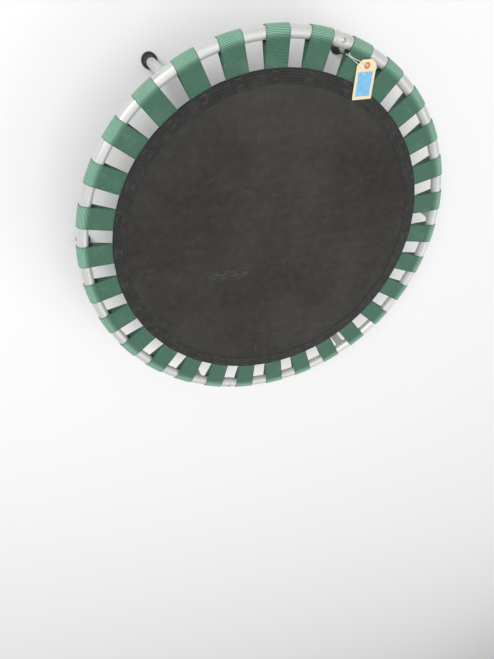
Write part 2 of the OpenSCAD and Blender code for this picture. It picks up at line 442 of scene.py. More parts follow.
@dataclass(frozen=True)
class ElasticWebbing(Finish):
    """Green woven elastic: ribs along it, picks across it, with a painted highlight where it bends round the
    rim, painted shade in the weave's hollows and darker selvedges with painted shade along them.
    """

    yarn: tuple[float, float, float] = (0.060, 0.170, 0.110)
    shade: tuple[float, float, float] = (0.012, 0.048, 0.030)
    # Light green, used both for the painted highlight on the bend and for faded worn patches.
    pale: tuple[float, float, float] = (0.33, 0.60, 0.44)
    rib_pitch: float = 2.8 * MM
    pick_pitch: float = 2.7 * MM
    width: float = 50.3 * MM

    def make(self) -> bpy.types.Material:
        """UV holds metres across and along the webbing; the colour attribute's red is the bend."""
        r = Recipe(self.name)
        u, v, _ = r.split(r.coords("UV"))
        ribs = r.wave(u, self.rib_pitch)
        picks = r.wave(v, self.pick_pitch)
        fine = r.wave(u, self.rib_pitch / 4)
        weave = r.math("MULTIPLY", picks, r.math("MULTIPLY_ADD", ribs, 0.30, 0.70))
        fuzz = r.noise(r.scaled(r.coords("UV"), (1.0, 0.35, 1.0)), 1500.0, 3.0)
        cloud = r.noise(r.coords(), 26.0, 4.0)
        bend = r.tree.nodes.new("ShaderNodeAttribute")
        bend.attribute_name = "on_bend"
        on_bend = bend.outputs["Fac"]
        depth = r.math("MULTIPLY_ADD", weave, 0.75, r.math("MULTIPLY", fuzz, 0.35))
        speck = r.noise(r.scaled(r.coords("UV"), (1.0, 0.6, 1.0)), 330.0, 3.0, 0.7)
        sunk = r.math("MULTIPLY_ADD", speck, 0.9, r.math("MULTIPLY", depth, 0.7))
        flat = r.mix(r.ramp(sunk, 0.38, 0.95), self.shade, self.yarn)
        lit = r.mix(r.ramp(depth, 0.30, 0.70), self.yarn, self.pale)
        # Painted highlight: the bend round the rim tube is mixed towards the lighter lit colour.
        lean = r.math("MULTIPLY", on_bend, r.math("MULTIPLY_ADD", cloud, 0.3, 0.75))
        colour = r.mix(lean, flat, lit)
        worn = r.math("MULTIPLY", r.ramp(cloud, 0.5, 0.8), 0.10)
        colour = r.mix(worn, colour, self.pale)
        # Darker selvedge yarn, with painted shade along the webbing's two edges.
        off_middle = r.math("ABSOLUTE", r.math("SUBTRACT", u, self.width / 2))
        selvedge_and_edge_shade = r.ramp(off_middle, self.width / 2 - 2.4 * MM, self.width / 2 - 0.6 * MM)
        r.set(Base_Color=r.mix(r.math("MULTIPLY", selvedge_and_edge_shade, 0.6), colour, self.shade))
        r.set(Roughness=0.82, Sheen_Weight=0.25, Sheen_Roughness=0.5)
        height = r.math("ADD", r.math("MULTIPLY", weave, 0.8), r.math("MULTIPLY", fine, 0.12))
        r.bump(r.math("MULTIPLY_ADD", fuzz, 0.25, height), 0.0007, 0.9)
        return r.material


@dataclass(frozen=True)
class MatWeave(Finish):
    """Tight black plastic weave, dusty, with faint scuffs, creases and scratches."""

    dark: tuple[float, float, float] = (0.022, 0.0205, 0.0185)
    dusty: tuple[float, float, float] = (0.055, 0.053, 0.047)
    chalk: tuple[float, float, float] = (0.26, 0.26, 0.24)
    thread: float = 1.1 * MM

    def make(self) -> bpy.types.Material:
        """Plain weave from two crossed waves, and wear from several noises."""
        r = Recipe(self.name)
        place = r.coords()
        x, y, _ = r.split(place)
        warp = r.wave(x, self.thread)
        weft = r.wave(y, self.thread)
        over = r.wave(r.math("ADD", x, y), self.thread * 2)
        weave = r.math("ADD", r.math("MULTIPLY", warp, over),
                       r.math("MULTIPLY", weft, r.math("SUBTRACT", 1.0, over)))
        cloud = r.noise(place, 4.2, 5.0, 0.6)
        fine = r.noise(place, 46.0, 6.0, 0.62)
        streak = r.noise(r.scaled(place, (5.0, 60.0, 1.0)), 1.0, 4.0)
        dust = r.math("MULTIPLY_ADD", r.ramp(cloud, 0.3, 0.7), 0.55,
                      r.math("MULTIPLY", r.ramp(fine, 0.4, 0.7), 0.25))
        dust = r.math("MULTIPLY_ADD", r.ramp(streak, 0.45, 0.8), 0.18, dust)
        colour = r.mix(dust, self.dark, self.dusty)
        scuff = self.scuffs(r, x, y, fine)
        r.set(Base_Color=r.mix(scuff, colour, self.chalk))
        r.set(Roughness=r.math("MULTIPLY_ADD", cloud, 0.22, 0.55), Specular_IOR_Level=0.25)
        r.bump(r.math("MULTIPLY_ADD", fine, 0.3, weave), 0.0003, 0.6)
        return r.material

    def scuffs(self, r: Recipe, x: object, y: object, fine: object) -> bpy.types.NodeSocket:
        """Chalky rub marks in a band across the mat, and thin curved scratches.

        Args:
            r: The recipe being wired.
            x: Object X.
            y: Object Y.
            fine: Fine noise that breaks the marks up.

        Returns:
            How chalky each point is, from 0 to 1.
        """
        place = r.coords()
        marks = r.noise(r.scaled(place, (70.0, 210.0, 1.0)), 1.0, 5.0, 0.7)
        band_x = r.ramp(r.math("ABSOLUTE", r.math("ADD", x, 0.115)), 0.085, 0.03)
        band_y = r.ramp(r.math("ABSOLUTE", r.math("ADD", y, 0.067)), 0.022, 0.004)
        rubbed = r.math("MULTIPLY", r.math("MULTIPLY", band_x, band_y), r.ramp(marks, 0.44, 0.74))
        lines = []
        for centre_x, centre_y, radius, strength in (
            (0.34, -0.30, 0.395, 0.10), (-0.48, 0.42, 0.47, 0.08), (0.10, 0.62, 0.505, 0.07),
        ):
            dx, dy = r.math("SUBTRACT", x, centre_x), r.math("SUBTRACT", y, centre_y)
            reach = r.math("SQRT", r.math("ADD", r.math("MULTIPLY", dx, dx),
                                          r.math("MULTIPLY", dy, dy)))
            off = r.math("ABSOLUTE", r.math("SUBTRACT", reach, radius))
            line = r.math("MULTIPLY", r.ramp(off, 0.0016, 0.0003), r.ramp(fine, 0.46, 0.6))
            lines.append(r.math("MULTIPLY", line, strength))
        total = r.math("MULTIPLY", rubbed, 0.24)
        for line in lines:
            total = r.math("ADD", total, line)
        return r.math("MINIMUM", total, 1.0)


@dataclass(frozen=True)
class BorderWebbing(Finish):
    """Black webbing round the mat, ribbed across, with greyed high spots."""

    dark: tuple[float, float, float] = (0.009, 0.009, 0.0085)
    grey: tuple[float, float, float] = (0.054, 0.0555, 0.051)
    rib: float = 1.6 * MM

    def make(self) -> bpy.types.Material:
        """UV holds metres round the border, and in from its outer edge."""
        r = Recipe(self.name)
        u, v, _ = r.split(r.coords("UV"))
        ribs = r.wave(v, self.rib)
        picks = r.wave(r.math("ADD", u, v), self.rib * 1.3)
        weave = r.math("MULTIPLY", ribs, r.math("MULTIPLY_ADD", picks, 0.6, 0.4))
        place = r.coords()
        cloud = r.noise(place, 55.0, 5.0, 0.65)
        fuzz = r.noise(place, 900.0, 2.0)
        worn = r.math("MULTIPLY", r.ramp(r.math("MULTIPLY_ADD", weave, 0.35, cloud), 0.5, 0.95),
                      r.math("MULTIPLY_ADD", fuzz, 0.9, 0.25))
        worn = r.math("MULTIPLY", worn, r.ramp(v, 1.0 * MM, 4.5 * MM))
        r.set(Base_Color=r.mix(worn, self.dark, self.grey))
        r.set(Roughness=0.86, Sheen_Weight=0.10)
        r.bump(r.math("MULTIPLY_ADD", fuzz, 0.35, weave), 0.0005, 0.8)
        return r.material


@dataclass(frozen=True)
class Thread(Finish):
    """Twisted sewing thread or cotton string."""

    light: tuple[float, float, float] = (0.05, 0.05, 0.048)
    dark: tuple[float, float, float] = (0.012, 0.012, 0.012)
    twist: float = 0.8 * MM

    def make(self) -> bpy.types.Material:
        """Diagonal plies."""
        r = Recipe(self.name)
        place = r.coords()
        x, y, z = r.split(place)
        slant = r.math("ADD", r.math("ADD", x, y), r.math("MULTIPLY", z, 1.7))
        plies = r.wave(slant, self.twist)
        fuzz = r.noise(place, 1400.0, 3.0)
        r.set(Base_Color=r.mix(r.math("MULTIPLY_ADD", fuzz, 0.5, r.math("MULTIPLY", plies, 0.6)),
                               self.dark, self.light))
        r.set(Roughness=0.9, Sheen_Weight=0.15)
        r.bump(r.math("MULTIPLY_ADD", fuzz, 0.4, plies), 0.0003, 0.6)
        return r.material


@dataclass(frozen=True)
class Card(Finish):
    """Paper board with fibres, speckle and handled edges."""

    base: tuple[float, float, float] = (0.80, 0.69, 0.45)
    fleck: tuple[float, float, float] = (0.60, 0.46, 0.26)
    amount: float = 0.3

    def make(self) -> bpy.types.Material:
        """Fibres in two directions and soft stains."""
        r = Recipe(self.name)
        place = r.coords()
        fibres = r.noise(r.scaled(place, (900.0, 240.0, 300.0)), 1.0, 4.0, 0.7)
        stain = r.noise(place, 70.0, 4.0)
        mark = r.math("ADD", r.math("MULTIPLY", r.ramp(fibres, 0.5, 0.8), 0.5),
                      r.math("MULTIPLY", r.ramp(stain, 0.45, 0.8), 0.6))
        r.set(Base_Color=r.mix(r.math("MULTIPLY", mark, self.amount), self.base, self.fleck))
        r.set(Roughness=0.78, Sheen_Weight=0.05)
        r.bump(fibres, 0.00015, 0.5)
        return r.material


@dataclass(frozen=True)
class RuledPaper(Card):
    """The same paper, printed with faint plain ruled lines along it."""

    line: tuple[float, float, float] = (0.05, 0.16, 0.34)
    spacing: float = 5.2 * MM

    def make(self) -> bpy.types.Material:
        """Thin lines over the paper, rubbed away in places."""
        material = super().make()
        r = Recipe.of(material)
        place = r.coords()
        rules = r.ramp(r.wave(r.split(place)[0], self.spacing), 0.90, 0.97)
        kept = r.ramp(r.noise(place, 90.0, 3.0), 0.38, 0.6)
        paper = r.shader.inputs["Base Color"].links[0].from_socket
        r.set(Base_Color=r.mix(r.math("MULTIPLY", r.math("MULTIPLY", rules, kept), 0.5), paper, self.line))
        return material


@dataclass(frozen=True)
class StudioFloor(Finish):
    """Plain pale floor."""

    base: tuple[float, float, float] = (0.86, 0.86, 0.86)

    def make(self) -> bpy.types.Material:
        """An even matt surface."""
        r = Recipe(self.name)
        r.set(Base_Color=rgba(self.base), Roughness=0.9, Specular_IOR_Level=0.1)
        return r.material


RIM_PAINT = RimPaint("old_rim_paint")
LEG_PAINT = LegPaint("old_leg_paint")
PLATED = Metal("zinc_plate")
RIVET = Metal("dull_aluminium", base=(0.56, 0.56, 0.545), dull=(0.3, 0.3, 0.285), roughness=0.38)
WELD = WeldBead("weld_bead")
RUBBER = FootRubber("moulded_rubber")
ELASTIC = ElasticWebbing("green_elastic")
MAT = MatWeave("taut_black_weave")
BORDER = BorderWebbing("stitched_black_webbing")
THREADS = {
    Fibre.BLACK: Thread("black_thread", light=(0.10, 0.104, 0.096), dark=(0.03, 0.031, 0.03)),
    Fibre.WORN: Thread("worn_thread", light=(0.13, 0.132, 0.12), dark=(0.04, 0.04, 0.037)),
}
COTTON = Thread("cotton_string", light=(0.93, 0.92, 0.88), dark=(0.60, 0.58, 0.53), twist=1.6 * MM)
MANILA = Card("manila_card")
PATCH_PAPER = Card("pressed_red_paper", base=(0.68, 0.20, 0.085), fleck=(0.40, 0.10, 0.04), amount=0.6)
LABEL_PAPER = RuledPaper("label_paper", base=(0.20, 0.50, 0.77), fleck=(0.09, 0.30, 0.56), amount=0.55)
FLOOR = StudioFloor("studio_floor")


# --------------------------------------------------------------------- mesh helpers


def to_object(
    bm: bmesh.types.BMesh, name: str, finish: Finish, smooth: bool = True, closed: bool = True
) -> bpy.types.Object:
    """Turn a bmesh into an object at the origin.

    Args:
        bm: The bmesh, which is freed.
        name: Name of the piece.
        finish: Finish of the piece.
        smooth: True for smooth shading.
        closed: True to point every face outwards.

    Returns:
        The new object, linked to the scene.
    """
    if closed:
        bmesh.ops.recalc_face_normals(bm, faces=bm.faces)
    for face in bm.faces:
        face.smooth = smooth
    mesh = bpy.data.meshes.new(name)
    bm.to_mesh(mesh)
    bm.free()
    piece = bpy.data.objects.new(name, mesh)
    bpy.context.scene.collection.objects.link(piece)
    mesh.materials.append(finish.material())
    return piece


def sharpen(piece: bpy.types.Object, degrees: float = 35.0) -> bpy.types.Object:
    """Mark edges sharper than an angle, so that smooth shading stops at them."""
    piece.data.set_sharp_from_angle(angle=math.radians(degrees))
    return piece


def dress(piece: bpy.types.Object, body: str, slot: str, *nodes: str) -> bpy.types.Object:
    """Ride a piece on its body and hide the nodes that it stands for."""
    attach(piece, body)
    if nodes:
        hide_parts(*nodes)
    LOG.info("%s on %s: %d faces", piece.name, body, len(piece.data.polygons))
    return piece


def chain(bm: bmesh.types.BMesh, points: Sequence[Vector]) -> list[bmesh.types.BMEdge]:
    """Lay a few vertices in a row and join them by edges."""
    verts = [bm.verts.new(point) for point in points]
    return [bm.edges.new(pair) for pair in zip(verts, verts[1:])]


def grow(
    bm: bmesh.types.BMesh, edges: Sequence[bmesh.types.BMEdge]
) -> tuple[list[bmesh.types.BMVert], list[bmesh.types.BMEdge]]:
    """Extrude a row of edges.

    Args:
        bm: The bmesh.
        edges: The row to extrude.

    Returns:
        The new row's vertices and its edges.
    """
    made = bmesh.ops.extrude_edge_only(bm, edges=edges)["geom"]
    verts = [item for item in made if isinstance(item, bmesh.types.BMVert)]
    known = set(verts)
    row = [item for item in made if isinstance(item, bmesh.types.BMEdge)
           and item.verts[0] in known and item.verts[1] in known]
    return verts, row


def lathe(
    bm: bmesh.types.BMesh, profile: Sequence[tuple[float, float]], steps: int, loop: bool = False
) -> None:
    """Spin a profile of (radius, height) points round Z through the origin.

    Args:
        bm: The bmesh to add to.
        profile: Points from one end of the outline to the other.
        steps: Steps in the full turn.
        loop: True if the outline closes on itself.
    """
    points = [Vector((r, 0, z)) for r, z in profile]
    edges = chain(bm, points)
    verts = list({vert for edge in edges for vert in edge.verts})
    if loop:
        ends = [vert for vert in verts if len(vert.link_edges) == 1]
        edges.append(bm.edges.new(ends))
    bmesh.ops.spin(
        bm, geom=verts + edges, cent=(0, 0, 0), axis=(0, 0, 1), dvec=(0, 0, 0), angle=FULL_TURN,
        steps=steps, use_merge=True, use_duplicate=False,
    )
    bmesh.ops.remove_doubles(bm, verts=bm.verts, dist=1e-7)


def fillet(
    centre: tuple[float, float], radius: float, start: float, end: float, steps: int = 4
) -> list[tuple[float, float]]:
    """Points of an arc, with its angles in degrees."""
    turns = [math.radians(start + (end - start) * i / steps) for i in range(steps + 1)]
    return [(centre[0] + radius * math.cos(a), centre[1] + radius * math.sin(a)) for a in turns]


def frame_at(place: Vector, along: Vector, side: Vector) -> Matrix:
    """A placing whose Z is along and whose X is near side."""
    z = along.normalized()
    y = z.cross(side).normalized()
    x = y.cross(z)
    return Matrix.Translation(place) @ Matrix((x, y, z)).transposed().to_4x4()


def sweep(
    bm: bmesh.types.BMesh,
    places: Sequence[Matrix],
    radii: Sequence[float],
    segments: int,
    closed: bool = False,
    lobes: Callable[[int, float], float] | None = None,
) -> None:
    """Extrude a ring of edges through a row of placings.

    Args:
        bm: The bmesh to add to.
        places: Placing of each ring.
        radii: Radius of each ring.
        segments: Vertices in a ring.
        closed: True to join the last ring to the first, False to cap both ends.
        lobes: Optional factor on the radius for a ring's number and an angle in it.
    """
    def shape(verts: Sequence[bmesh.types.BMVert], index: int) -> None:
        """Put a ring's vertices in place."""
        for vert in verts:
            local = vert.co.copy()
            angle = math.atan2(local.y, local.x)
            reach = radii[index] * (lobes(index, angle) if lobes else 1.0)
            vert.co = places[index] @ Vector((reach * math.cos(angle), reach * math.sin(angle), 0))

    made = bmesh.ops.create_circle(bm, cap_ends=False, segments=segments, radius=1.0)["verts"]
    ring = {vert: vert.co.copy() for vert in made}
    edges = [edge for edge in bm.edges if edge.verts[0] in ring and edge.verts[1] in ring]
    first = edges
    shape(made, 0)
    for index in range(1, len(places)):
        fresh, edges = grow(bm, edges)
        follow = {}
        for vert in fresh:
            for edge in vert.link_edges:
                other = edge.other_vert(vert)
                if other in ring:
                    follow[vert] = ring[other]
        for vert, unit in follow.items():
            vert.co = unit
        ring = follow
        shape(list(follow), index)
    if closed:
        bmesh.ops.bridge_loops(bm, edges=first + edges)
    else:
        bmesh.ops.holes_fill(bm, edges=first, sides=0)
        bmesh.ops.holes_fill(bm, edges=edges, sides=0)


def turned(angle: float, reach: float, height: float = 0.0) -> Matrix:
    """The placing at a reach and a height, turned round Z by an angle."""
    return Matrix.Rotation(angle, 4, "Z") @ Matrix.Translation((reach, 0, height))


def add_stitch(
    part: bmesh.types.BMesh, place: Matrix, slant: float, halves: tuple[float, float, float]
) -> None:
    """Add one stitch, a short bead of thread.

    Args:
        part: The bmesh to add to.
        place: Placing of its middle, before the slant.
        slant: Its turn round Z.
        halves: Half its size each way.
    """
    shape = Matrix.Rotation(slant, 4, "Z") @ Matrix.Diagonal((*halves, 1))
    bmesh.ops.create_uvsphere(part, u_segments=6, v_segments=4, radius=1.0, matrix=place @ shape)


def follow_strap(piece: bpy.types.Object, sizes: "Sizes", index: int, slot: str) -> None:
    """Bake a piece's placing into its mesh."""
    angle = sizes.strap_angle(index)
    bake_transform(piece)


def absorb(bm: bmesh.types.BMesh, part: bmesh.types.BMesh) -> None:
    """Add a part to a bmesh and free the part, which keeps long rows of parts quick."""
    mesh = bpy.data.meshes.new("part")
    part.to_mesh(mesh)
    part.free()
    bm.from_mesh(mesh)
    bpy.data.meshes.remove(mesh)


def set_uv(bm: bmesh.types.BMesh, place: Callable[[bmesh.types.BMVert], tuple[float, float]]) -> None:
    """Give each face corner the UV that place works out for its vertex."""
    layer = bm.loops.layers.uv.new("webbing")
    for face in bm.faces:
        for corner in face.loops:
            corner[layer].uv = place(corner.vert)


# ----------------------------------------------------------------------- the pieces


@dataclass
class Rim:
    """The two half rims, their swaged joints, rivets, bosses, studs and welds."""

    sizes: Sizes
    step: float = math.radians(1.0)
    segments: int = 40
    socket_reach: float = 15.0 * MM
    shoulder: float = 3.2 * MM
    lip: float = 0.55 * MM
    insert_past: float = 9 * MM
    thread_depth: float = 0.85 * MM
    thread_facets: int = 24
    weld_steps: int = 72

    def along(self, angle: float) -> Matrix:
        """Placing of a ring of the rim tube at an angle."""
        s = self.sizes
        out = Vector((math.cos(angle), math.sin(angle), 0))
        place = out * s.rim_r + Vector((0, 0, s.rim_h))
        return frame_at(place, Vector((-out.y, out.x, 0)), out)

    def tube(self, name: str, stations: Sequence[tuple[float, float]], node: str) -> bpy.types.Object:
        """Sweep a tube through stations of (angle, radius)."""
        bm = bmesh.new()
        sweep(bm, [self.along(a) for a, _ in stations], [r for _, r in stations], self.segments)
        piece = sharpen(to_object(bm, name, RIM_PAINT), 40)
        return dress(piece, "frame", "rim_tube", node)

    def plain(self, start: float, end: float) -> list[tuple[float, float]]:
        """Stations of plain tube between two angles."""
        count = max(2, round((end - start) / self.step))
        return [(start + (end - start) * i / count, self.sizes.tube_r) for i in range(count + 1)]

    def socket(self, joint: float, way: int) -> list[tuple[float, float]]:
        """Stations from plain tube to a socket's mouth and a little way back inside it."""
        s = self.sizes
        near = self.socket_reach
        outline = [
            (-near - self.shoulder, s.tube_r), (-near - self.shoulder * 0.6, s.tube_r + 0.12 * MM),
            (-near - self.shoulder * 0.3, s.tube_r + 0.7 * MM), (-near, s.socket_r - 0.15 * MM),
            (-near + 1.2 * MM, s.socket_r), (near - self.lip * 2, s.socket_r),
            (near - self.lip * 0.5, s.socket_r - 0.12 * MM), (near, s.socket_r - self.lip),
            (near, s.tube_r + 0.12 * MM), (near - 4 * MM, s.tube_r + 0.05 * MM),
        ]
        return [(joint + way * x / s.rim_r, radius) for x, radius in outline]

    def build(self) -> None:
        """Make every piece of the rim."""
        s = self.sizes
        first, second = s.joint_angles
        edge = (self.socket_reach + self.shoulder) / s.rim_r
        low = self.socket(second - FULL_TURN, -1)
        high = self.socket(first, 1)
        body = self.plain(second - FULL_TURN + edge * 1.05, first - edge * 1.05)
        self.tube("rim_tube_a", low[::-1] + body + high, "half_rim_a")
        inset = self.insert_past / s.rim_r
        self.tube("rim_tube_b", self.plain(first - inset, second + inset), "half_rim_b")
        self.rivets()
        self.bosses()
        self.studs()
        self.welds()

    def rivets(self) -> None:
        """Domed rivet heads with a flange and the small dimple of the pulled pin."""
        s = self.sizes
        low, high = box("rim_rivets")
        top, head_r = high.z, 4.7 * MM
        crown = s.rim_h + s.socket_r
        profile = [(0, top - 0.5 * MM), (1.0 * MM, top - 0.5 * MM), (1.15 * MM, top - 0.05 * MM)]
        profile += [(2.2 * MM, top - 0.12 * MM), (3.4 * MM, top - 0.55 * MM)]
        profile += [(4.3 * MM, crown + 0.55 * MM), (head_r, crown + 0.25 * MM), (head_r, crown - 0.5 * MM)]
        profile += [(2.4 * MM, crown - 0.9 * MM), (2.4 * MM, low.z + 3.5 * MM)]
        profile += [(3.5 * MM, low.z + 2.8 * MM), (3.5 * MM, low.z + 0.8 * MM), (2.2 * MM, low.z), (0, low.z)]
        bm = bmesh.new()
        for angle in s.joint_angles:
            part = bmesh.new()
            lathe(part, profile, 32)
            self.add_at(bm, part, angle)
        piece = sharpen(to_object(bm, "rivet_heads", RIVET), 40)
        dress(piece, "frame", "rivet", "rim_rivets")

    def add_at(self, bm: bmesh.types.BMesh, part: bmesh.types.BMesh, angle: float) -> None:
        """Copy a part made round Z to the rim at an angle, and free it."""
        part.transform(turned(angle, self.sizes.rim_r))
        absorb(bm, part)

    def saddle(self, out: float) -> float:
        """Height of the rim tube's underside at a distance from its middle line."""
        s = self.sizes
        reach = min(abs(out), s.tube_r * 0.999)
        return s.rim_h - math.sqrt(s.tube_r ** 2 - reach ** 2)

    def bosses(self) -> None:
        """Short collars whose tops follow the rim tube."""
        s = self.sizes
        low, high = box("leg_bosses")
        tiny = 1e-6
        bm = bmesh.new()
        for index in range(s.leg_count):
            part = bmesh.new()
            inner = s.stud_r
            wall = [(inner, low.z + 5.2 * MM), (inner, low.z + 0.4 * MM), (inner + 0.5 * MM, low.z)]
            wall += fillet((s.boss_r - 0.9 * MM, low.z + 0.9 * MM), 0.9 * MM, 270, 360)
            wall += [(s.boss_r, low.z + 4 * MM), (s.boss_r, high.z), (s.boss_r * 0.75, high.z)]
            wall += [(s.boss_r * 0.5, high.z), (0.0, high.z)]
            lathe(part, wall, 48)
            for vert in part.verts:
                reach = vert.co.xy.length
                above_seat = vert.co.z > low.z + 5 * MM and reach > s.stud_r * 1.05
                if above_seat or reach < tiny or vert.co.z > high.z - tiny:
                    vert.co.z = min(high.z, self.saddle(vert.co.x) + 0.3 * MM)
            self.add_at(bm, part, s.leg_angle(index))
        piece = to_object(bm, "boss_collars", LEG_PAINT)
        dress(sharpen(piece, 40), "frame", "rim_tube", "leg_bosses")

    def studs(self) -> None:
        """Threaded rods: a core with one helical ridge."""
        s = self.sizes
        pitch, facets = THREAD_PITCH, self.thread_facets
        core = s.stud_r - self.thread_depth
        turns = int((s.stud_high - 6 * MM - s.stud_low - 2 * MM) / pitch)
        bm = bmesh.new()
        for index in range(s.leg_count):
            part = bmesh.new()
            lathe(part, [(0, s.stud_low), (core - 0.5 * MM, s.stud_low), (core, s.stud_low + 1 * MM),
                         (core, s.stud_high), (0, s.stud_high)], facets)
            start = s.stud_low + 1.2 * MM
            ridge = chain(part, [Vector((core - 0.05 * MM, 0, start)),
                                 Vector((s.stud_r, 0, start + pitch * 0.42)),
                                 Vector((s.stud_r, 0, start + pitch * 0.5)),
                                 Vector((core - 0.05 * MM, 0, start + pitch * 0.92))])
            verts = list({vert for edge in ridge for vert in edge.verts})
            ends = [vert for vert in verts if len(vert.link_edges) == 1]
            ridge.append(part.edges.new(ends))
            made = bmesh.ops.spin(
                part, geom=verts + ridge, cent=(0, 0, 0), axis=(0, 0, 1),
                dvec=(0, 0, pitch / facets), angle=FULL_TURN * turns, steps=facets * turns,
                use_merge=False, use_duplicate=False,
            )
            last = [item for item in made["geom_last"] if isinstance(item, bmesh.types.BMEdge)]
            bmesh.ops.holes_fill(part, edges=ridge, sides=0)
            bmesh.ops.holes_fill(part, edges=last, sides=0)
            self.add_at(bm, part, s.leg_angle(index))
        piece = sharpen(to_object(bm, "threaded_studs", PLATED), 30)
        dress(piece, "frame", "thread_steel", "leg_studs")

    def welds(self) -> None:
        """A rippled bead where each boss meets the rim."""
        s = self.sizes
        rng = random.Random(11)
        bm = bmesh.new()
        for index in range(s.leg_count):
            part = bmesh.new()
            places, radii = [], []
            for i in range(self.weld_steps):
                a = FULL_TURN * i / self.weld_steps
                reach = s.boss_r - 0.1 * MM
                out = reach * math.cos(a)
                z = min(self.saddle(out), s.rim_h - s.tube_r * 0.62) - 0.2 * MM
                place = Vector((out, reach * math.sin(a), z))
                places.append(frame_at(place, Vector((-math.sin(a), math.cos(a), 0)), Vector((0, 0, 1))))
                radii.append((1.15 + 0.22 * math.sin(i * 1.9) + rng.uniform(-0.1, 0.1)) * MM)
            sweep(part, places, radii, 10, closed=True)
            self.add_at(bm, part, s.leg_angle(index))
        dress(to_object(bm, "boss_welds", WELD), "frame", "rim_tube")


@dataclass
class Leg:
    """One leg: tube, threaded plug and rubber foot."""

    sizes: Sizes
    index: int
    steps: int = 48
    wall: float = 1.5 * MM
    sleeve_wall: float = 2.6 * MM
    sole: float = 5 * MM
    sole_grooves: tuple[float, ...] = (7.0 * MM, 11.0 * MM)
    groove_depth: float = 0.95 * MM
    sleeve_bands: tuple[float, ...] = (17.0 * MM, 22.0 * MM)

    @property
    def body(self) -> str:
        """The CAD body that the leg rides on."""
        return f"leg_set_{self.index + 1}"

    def place(self, bm: bmesh.types.BMesh) -> None:
        """Move a part made round Z to this leg."""
        bm.transform(turned(self.sizes.leg_angle(self.index), self.sizes.rim_r))

    def build(self) -> None:
        """Make the leg's three pieces."""
        self.tube()
        self.plug()
        self.foot()

    def tube(self) -> None:
        """The leg tube, with its ends broken and rounded."""
        s = self.sizes
        low = box(f"leg_{self.index + 1}")[0].z
        inner, r, e = s.leg_r - self.wall, s.leg_r, 0.45 * MM
        heights = [low + (s.leg_top - low) * i / 12 for i in range(1, 12)]
        profile = [(inner, low + e), (inner + e, low), (r - e, low), (r, low + e)]
        profile += [(r, z) for z in heights]
        profile += fillet((r - e, s.leg_top - e), e, 0, 90, 3)
        profile += [(inner + e * 0.5, s.leg_top), (inner, s.leg_top - e)]
        profile += [(inner, z) for z in reversed(heights)]
        bm = bmesh.new()
        lathe(bm, profile, self.steps, loop=True)
        self.place(bm)
        node = f"leg_{self.index + 1}"
        dress(sharpen(to_object(bm, f"leg_tube_{self.index + 1}", LEG_PAINT)), self.body,
              "leg_tube", node)

    def plug(self) -> None:
        """The plug pressed into the leg, with a grooved bore and a chamfered mouth."""
        s = self.sizes
        node = f"leg_plug_{self.index + 1}"
        low, high = box(node)
        outer = s.leg_r - self.wall - 0.03 * MM
        bore, depth, pitch = s.stud_r + 0.1 * MM, 0.4 * MM, THREAD_PITCH
        top, bottom = high.z - 0.2 * MM, low.z
        profile = [(bore + depth, bottom), (outer - 0.8 * MM, bottom), (outer, bottom + 0.8 * MM)]
        profile += [(outer, top - 0.4 * MM), (outer - 0.4 * MM, top), (bore + 1.3 * MM, top)]
        profile += [(bore + depth, top - 1.0 * MM)]
        count = int((top - bottom - 2.5 * MM) / pitch)
        for i in range(count):
            z = top - 1.4 * MM - i * pitch
            profile += [(bore + 0.02 * MM, z - 0.1 * MM), (bore + depth, z - pitch / 2)]
        bm = bmesh.new()
        lathe(bm, profile, 32, loop=True)
        self.place(bm)
        piece = to_object(bm, f"leg_insert_{self.index + 1}", PLATED)
        dress(sharpen(piece, 30), self.body, "thread_steel", node)

    def foot(self) -> None:
        """A flared rubber tip: sole grooves, a flange with a raised ring, and a ringed sleeve."""
        s = self.sizes
        r, h = s.foot_r, s.foot_h
        sleeve = s.leg_r + self.sleeve_wall
        bore, deep = s.leg_r + 0.02 * MM, self.groove_depth
        profile = [(0, 0.9 * MM), (4.2 * MM, 0.9 * MM), (4.8 * MM, 0.0)]
        for ring in self.sole_grooves:
            profile += [(ring, 0.0), (ring + 0.35 * MM, deep)]
            profile += [(ring + 1.6 * MM, deep), (ring + 1.95 * MM, 0.0)]
        profile += fillet((r - 1.3 * MM, 1.3 * MM), 1.3 * MM, 270, 360, 5)
        profile += fillet((r - 1.0 * MM, 4.0 * MM), 1.0 * MM, 0, 110, 6)
        profile += [(r - 2.0 * MM, 4.3 * MM), (r - 2.6 * MM, 3.6 * MM)]
        profile += [(sleeve + 1.5 * MM, 5.4 * MM), (sleeve + 0.8 * MM, 6.6 * MM)]
        profile += [(sleeve + 0.35 * MM, 8.6 * MM), (sleeve + 0.05 * MM, 11 * MM)]
        for band in self.sleeve_bands:
            profile += [(sleeve - 0.05 * MM, band - 1.0 * MM), (sleeve + 0.3 * MM, band - 0.4 * MM)]
            profile += [(sleeve + 0.3 * MM, band + 0.4 * MM), (sleeve - 0.1 * MM, band + 1.0 * MM)]
        profile += fillet((sleeve - 0.9 * MM, h - 0.9 * MM), 0.8 * MM, 0, 90, 4)
        profile += fillet((bore + 0.5 * MM, h - 0.6 * MM), 0.45 * MM, 90, 180, 3)
        profile += [(bore, self.sole), (0, self.sole)]
        bm = bmesh.new()
        lathe(bm, profile, 56)
        self.place(bm)
        node = f"foot_{self.index + 1}"
        piece = to_object(bm, f"rubber_foot_{self.index + 1}", RUBBER)
        dress(sharpen(piece, 50), self.body, "foot_rubber", node)


